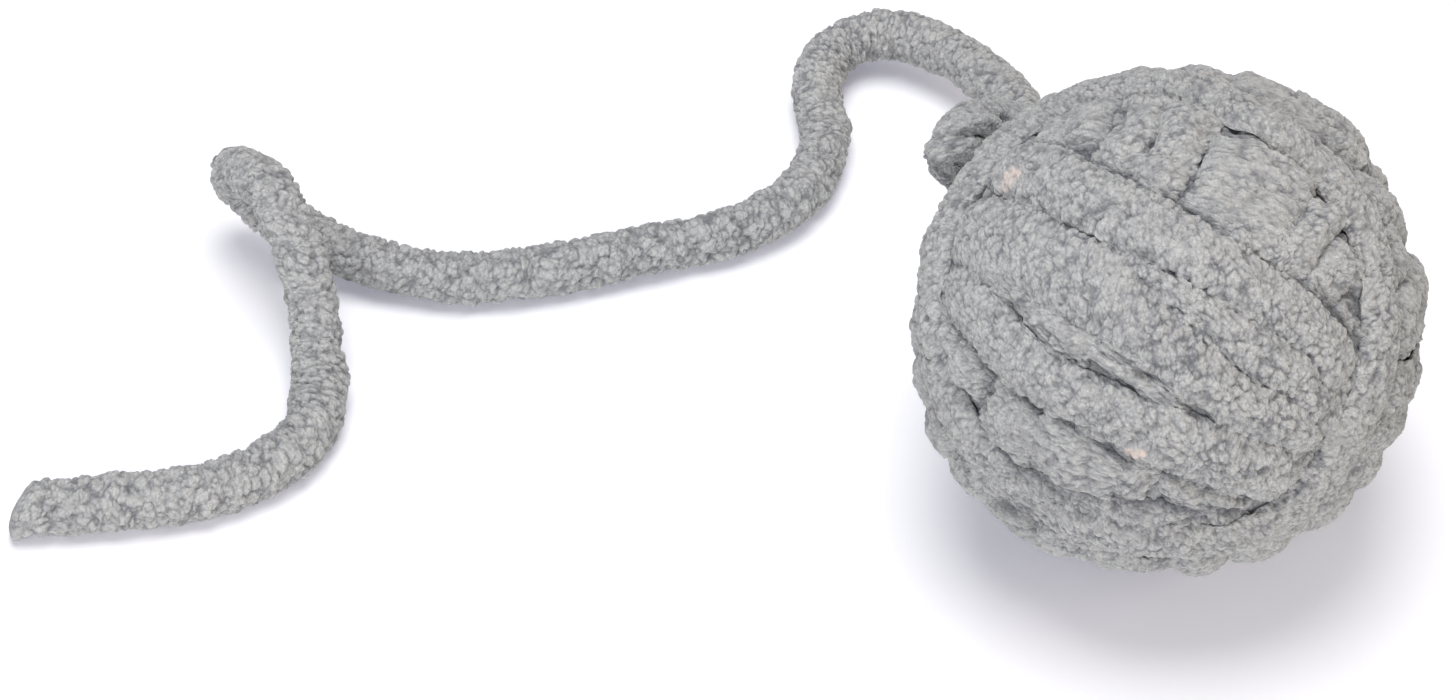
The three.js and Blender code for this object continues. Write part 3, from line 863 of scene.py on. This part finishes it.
def wound(name, line, half_width, node_name, half_height, step, sides, pile, squareness):
    """Lays one winding as pieces short enough to stay light."""
    even = spaced(line, step)
    along = along_of(even)
    half_width = np.interp(along, along_of(line), half_width)
    half_width = half_width * (1 + SQUEEZE * soft_noise(even, SQUEEZE_LENGTH, pile.seed + SQUEEZE_SEED))
    outward, across = ball_frames_along(even)
    even = even + across * (WANDER * soft_noise(even, WANDER_LENGTH, pile.seed + WANDER_SEED))[:, None]
    even = even + unit(even) * bulge(unit(even))[:, None]
    whole = Strand(even, outward, across, half_width, np.full(len(even), half_height), along)
    count = math.ceil(along[-1] / PIECE_LENGTH)
    cuts = np.linspace(0, len(even) - 1, count + 1).round().astype(int)
    for number in range(count):
        part = Strand(*(values[cuts[number]:cuts[number + 1] + 1] for values in whole))
        piece = yarn_piece(
            f"{name}_{number + 1}", part, pile, sides,
            BALL_MIDDLE, WOUND_YARN, squareness, OUTER_CROWDING,
        )
        dress(piece, node_name)


def wind_ball():
    hoop, hoop_width = tucked_line(HOOP_PLACES, HOOP_SHOWN_RADIUS, HOOP_HALF_WIDTH, HOOP_TUCK_LENGTH)
    bight, bight_width = tucked_line(BIGHT_PLACES, BIGHT_SHOWN_RADIUS, BIGHT_HALF_WIDTH, BIGHT_TUCK_LENGTH)
    belt, belt_width = belt_line(hoop[::THINNED])
    crown, crown_width = crown_line(hoop[::THINNED])
    under, under_width = under_line(np.concatenate([belt, crown, hoop])[::THINNED])
    wound("belt_turns", belt, belt_width, "belt_winding", *OVER_TURN, BALL_PILE, ROUND_SECTION)
    wound("crown_turns", crown, crown_width, "crown_winding", *OVER_TURN, CROWN_PILE, ROUND_SECTION)
    wound("hoop_turn", hoop, hoop_width, "crown_winding", *OVER_TURN, HOOP_PILE, ROUND_SECTION)
    wound("slack_bight", bight, bight_width, "under_winding", *OVER_TURN, BIGHT_PILE, FULL_SECTION)
    wound("under_turns", under, under_width, "under_winding", *UNDER_TURN, UNDER_PILE, FULL_SECTION)


wind_ball()

# Balls inside the windings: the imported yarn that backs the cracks, the inner layers and the foam
PACKED_RADIUS = 36.3 * MM
PACKED_RISE = 1.3 * MM
PACKED_SUBDIVISIONS = 6
# The packed layer is painted darker by this share, as painted shade in the deep cracks
PACKED_SHADE = 0.35
INNER_RADIUS = 26.4 * MM
INNER_RISE = 0.4 * MM
FOAM_RADIUS = 19.9 * MM
FOAM_RISE = 0.1 * MM


def inner_ball(name, radius, rise, material, subdivisions=5, shade=0):
    """A ball inside the windings with a soft uneven skin, painted darker by a shade share as painted
    shade.
    """
    shape = bmesh.new()
    bmesh.ops.create_icosphere(shape, subdivisions=subdivisions, radius=radius)
    for face in shape.faces:
        face.smooth = True
    mesh = bpy.data.meshes.new(name)
    shape.to_mesh(mesh)
    shape.free()
    points = np.array([v.co for v in mesh.vertices])
    tufts, _, painted_lightness = pile_height(points, BALL_PILE)
    points = points + unit(points) * (tufts * rise)[:, None] + BALL_MIDDLE
    mesh.vertices.foreach_set("co", points.astype(np.float32).ravel())
    set_attribute(mesh, "pile", painted_lightness * (1 - shade))
    return placed(name, mesh, material)


def fill_ball():
    packed = inner_ball(
        "packed_layer", PACKED_RADIUS, PACKED_RISE, WOUND_YARN, PACKED_SUBDIVISIONS, PACKED_SHADE,
    )
    dress(packed, "under_winding")
    dress(inner_ball("inner_layers", INNER_RADIUS, INNER_RISE, WOUND_YARN), "inner_winding")
    dress(inner_ball("foam_ball", FOAM_RADIUS, FOAM_RISE, FOAM), "foam_core")


fill_ball()

# Knot: the bight's radius at places along it, in millimetres, and two turns of the hitch that show in it,
# each with its places from the ball's middle and its radius there, in millimetres
KNOT_PILE = BALL_PILE._replace(
    tuft_size=2.2 * MM, clump_size=3.2 * MM, tuft_rise=1.1 * MM, lump_rise=0.2 * MM, seed=51,
)
HITCH_SEED = 52
KNOT_STEP = 0.25 * MM
KNOT_SIDES = 72
KNOT_CROWDED = 1.6
BIGHT_RADII = ((0, 4.4), (9, 3.3), (24, 3.2), (31, 3.6), (37, 4))
HITCH_TURNS = {
    "knot_lower_turn": (
        ((-26.3, 27.6, 7.3), 3), ((-29.2, 25.4, 10.8), 3.2), ((-32.4, 25, 12.4), 3.3),
        ((-34.4, 25.2, 11.9), 3.1), ((-35.2, 26, 10.6), 2.4),
    ),
    "knot_inner_turn": (
        ((-34.1, 28, 11.3), 2.2), ((-32.4, 27.6, 14.9), 2.5), ((-30.1, 27.7, 15.6), 2.6),
        ((-27.7, 27.3, 14.5), 2.6), ((-25.9, 27.7, 11.5), 2.5),
    ),
}


def knot_strand(line, along_radii, radii):
    even = spaced(line, KNOT_STEP)
    along = along_of(even)
    radius = np.interp(along, along_radii, radii) * MM
    return Strand(even, *ball_frames_along(even), radius, radius, along * KNOT_CROWDED)


def tie_knot():
    places, radii = np.array(BIGHT_RADII).T
    bend = knot_strand(knot_line(), places * MM, radii)
    pieces = [yarn_piece("knot_bight", bend, KNOT_PILE, KNOT_SIDES, BALL_MIDDLE, WOUND_YARN)]
    for number, (name, rows) in enumerate(HITCH_TURNS.items()):
        line = smooth_line(np.array([row[0] for row in rows]) * MM)
        places = np.linspace(0, along_of(line)[-1], len(rows))
        turn = knot_strand(line, places, [row[1] for row in rows])
        pile = KNOT_PILE._replace(seed=HITCH_SEED + number)
        pieces.append(yarn_piece(name, turn, pile, KNOT_SIDES, BALL_MIDDLE, WOUND_YARN))
    return [dress(piece, "knot") for piece in pieces]


knot_pieces = tie_knot()

# Tail: one line, laid as cords that each cross one joint
TAIL_PILE = Pile(
    tuft_size=2.3 * MM, clump_size=4.5 * MM, lump_size=9 * MM,
    tuft_rise=1.4 * MM, clump_rise=0.4 * MM, lump_rise=0.25 * MM,
    curly=0.38, gap=0.27, gap_shade=0.65, patchy=0.15, broken=0.5, seed=31,
)
TAIL_HALF_WIDTH = 4.1 * MM
TAIL_STEP = 0.22 * MM
TAIL_SIDES = 110
FIRST_OUTWARD = np.array([0.0, 0.3, 1.0])
# The last stretch lies a little fuller, from the first of these lengths before the tip to the second
END_FULLER = 0.09
END_FULLER_START = 90 * MM
END_FULLER_WHOLE = 45 * MM
# Tufts crowd along the yarn, and more so in a bend
CROWDED = 1.2
CROWDED_IN_BEND = 0.6
TIGHT_BEND = 14 * MM
# The free end is cut on a slant and rounds off to a small blunt tip
TIP_ROUND = 2.4 * MM
TIP_BLUNT = 0.99
TIP_SLANT = 0.5
TIP_SLANT_LENGTH = 8 * MM
TIP_UP = np.array([0, 0.72, 0.69])
JOINT_PLACES = {joint["name"]: np.array(joint["pos_m"]) for joint in frame["joints"]}
# How far from one joint to the next the cords meet: the third meeting is at the top of the hairpin
MEET_SHARES = (0.5, 0.5, 0.76)
TAIL_CORDS = (
    ("tail_from_knot", "tail_swing", "ball", "arch", "tail_arch"),
    ("tail_round_bend", "tail_bend", "arch", "run", "tail_run"),
    ("tail_up_hairpin", "tail_lift", "run", "hairpin", "tail_hairpin"),
    ("tail_free_end", "tail_flick", "hairpin", "end", "tail_end"),
)


def tail_line():
    start = knot_line()[-1] + BALL_MIDDLE
    line = smooth_line(np.concatenate([[start], TAIL_ROUTE]))
    ahead = unit(line[-1] - line[-2])
    return spaced(np.concatenate([line, [line[-1] + ahead * TIP_LENGTH]]), TAIL_STEP)


def tail_strand(line):
    along = along_of(line)
    ahead = unit(np.gradient(line, axis=0))
    outward, across = carried_frames(line, FIRST_OUTWARD)
    to_tip = along[-1] - along
    slant = TIP_SLANT * (1 - smoothstep(to_tip, 0, TIP_SLANT_LENGTH))
    outward = outward - ahead * (slant * (outward @ TIP_UP))[:, None]
    across = across - ahead * (slant * (across @ TIP_UP))[:, None]
    short = np.clip(1 - to_tip / TIP_ROUND, 0, TIP_BLUNT)
    fuller = 1 + END_FULLER * (1 - smoothstep(to_tip, END_FULLER_WHOLE, END_FULLER_START))
    radius = TAIL_HALF_WIDTH * fuller * np.sqrt(1 - short ** 2)
    turning = np.linalg.norm(np.gradient(ahead, axis=0), axis=1) / TAIL_STEP
    crowding = CROWDED + CROWDED_IN_BEND * np.clip(turning * TIGHT_BEND, 0, 1)
    return Strand(line, outward, across, radius, radius, np.cumsum(crowding) * TAIL_STEP)


def lay_tail():
    line = tail_line()
    whole = tail_strand(line)
    pivots = [int(np.linalg.norm(line - JOINT_PLACES[row[1]], axis=1).argmin()) for row in TAIL_CORDS]
    meets = [0]
    for share, before, after in zip(MEET_SHARES, pivots, pivots[1:]):
        meets.append(before + round(share * (after - before)))
    meets.append(len(line) - 1)
    for number, (name, _, parent, child, node_name) in enumerate(TAIL_CORDS):
        first, final = meets[number], meets[number + 1]
        part = Strand(*(values[first:final + 1] for values in whole))
        piece = yarn_piece(name, part, TAIL_PILE, TAIL_SIDES, 0, FREE_YARN)
        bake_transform(piece)
        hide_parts(node_name)


lay_tail()

# Floor: white, and a little brighter to the camera than the lamps make it
FLOOR_SIZE = 4
FLOOR_WHITE = (0.9, 0.9, 0.91, 1)
GLOW_TINT = (0.77, 0.75, 1, 1)
GLOW_STRENGTH = 0.18


def floor():
    shape = bmesh.new()
    bmesh.ops.create_grid(shape, x_segments=1, y_segments=1, size=FLOOR_SIZE)
    mesh = bpy.data.meshes.new("floor")
    shape.to_mesh(mesh)
    shape.free()
    material = bpy.data.materials.new("white_floor")
    material.use_nodes = True
    tree = material.node_tree
    link = tree.links.new
    tree.nodes.remove(tree.nodes["Principled BSDF"])
    plain = node(tree, "ShaderNodeBsdfDiffuse", {"Color": FLOOR_WHITE})
    glow = node(tree, "ShaderNodeEmission", {"Color": GLOW_TINT})
    ray = node(tree, "ShaderNodeLightPath")
    strength = node(tree, "ShaderNodeMath", {1: GLOW_STRENGTH}, operation="MULTIPLY")
    link(ray.outputs["Is Camera Ray"], strength.inputs[0])
    link(strength.outputs["Value"], glow.inputs["Strength"])
    both = node(tree, "ShaderNodeAddShader")
    link(plain.outputs["BSDF"], both.inputs[0])
    link(glow.outputs["Emission"], both.inputs[1])
    link(both.outputs["Shader"], tree.nodes["Material Output"].inputs["Surface"])
    placed("floor", mesh, material)


# Round soft lamps: name, place, aim, size, level and colour.
# The level is the brightness that a lamp gives a white surface which faces it at its aim.
WHITE = (1, 1, 1)
WARM = (1, 0.86, 0.64)
LAMPS = (
    ("top_lamp", (-0.08, 0.05, 1.1), (-0.03, 0, 0.03), 0.75, 0.69, WHITE),
    ("back_lamp", (-0.054, 0.34, 0.62), (-0.03, 0, 0.03), 0.5, 0.1, WHITE),
    ("front_lamp", (-0.45, -1.2, 0.22), (-0.05, 0, 0.03), 1.5, 0.76, WHITE),
    ("right_lamp", (0.9, -0.3, 0.45), (0.02, 0, 0.03), 0.6, 0.24, WARM),
)
SKY_TINT = (0.96, 0.97, 1, 1)
SKY_LIGHT = 0.26
SKY_SEEN = 1.05


def lamp(name, place, aim, size, level, colour):
    place, aim = np.array(place), np.array(aim)
    data = bpy.data.lights.new(name, "AREA")
    data.shape = "DISK"
    data.size = size
    data.color = colour
    distance = np.linalg.norm(aim - place)
    data.energy = level * math.pi ** 2 * (distance ** 2 + (size / 2) ** 2)
    made = bpy.data.objects.new(name, data)
    made.location = place
    made.rotation_euler = Vector(aim - place).to_track_quat("-Z", "Y").to_euler()
    bpy.context.scene.collection.objects.link(made)


def sky():
    """Even light from all round, which the camera sees brighter than it shines."""
    world = bpy.data.worlds.new("studio")
    world.use_nodes = True
    tree = world.node_tree
    light = tree.nodes["Background"]
    set_inputs(light, {"Color": SKY_TINT})
    ray = node(tree, "ShaderNodeLightPath")
    mixed = node(tree, "ShaderNodeMapRange", {"To Min": SKY_LIGHT, "To Max": SKY_SEEN})
    tree.links.new(ray.outputs["Is Camera Ray"], mixed.inputs["Value"])
    tree.links.new(mixed.outputs["Result"], light.inputs["Strength"])
    bpy.context.scene.world = world


floor()
for settings in LAMPS:
    lamp(*settings)
sky()
bpy.context.scene.view_settings.view_transform = "Standard"
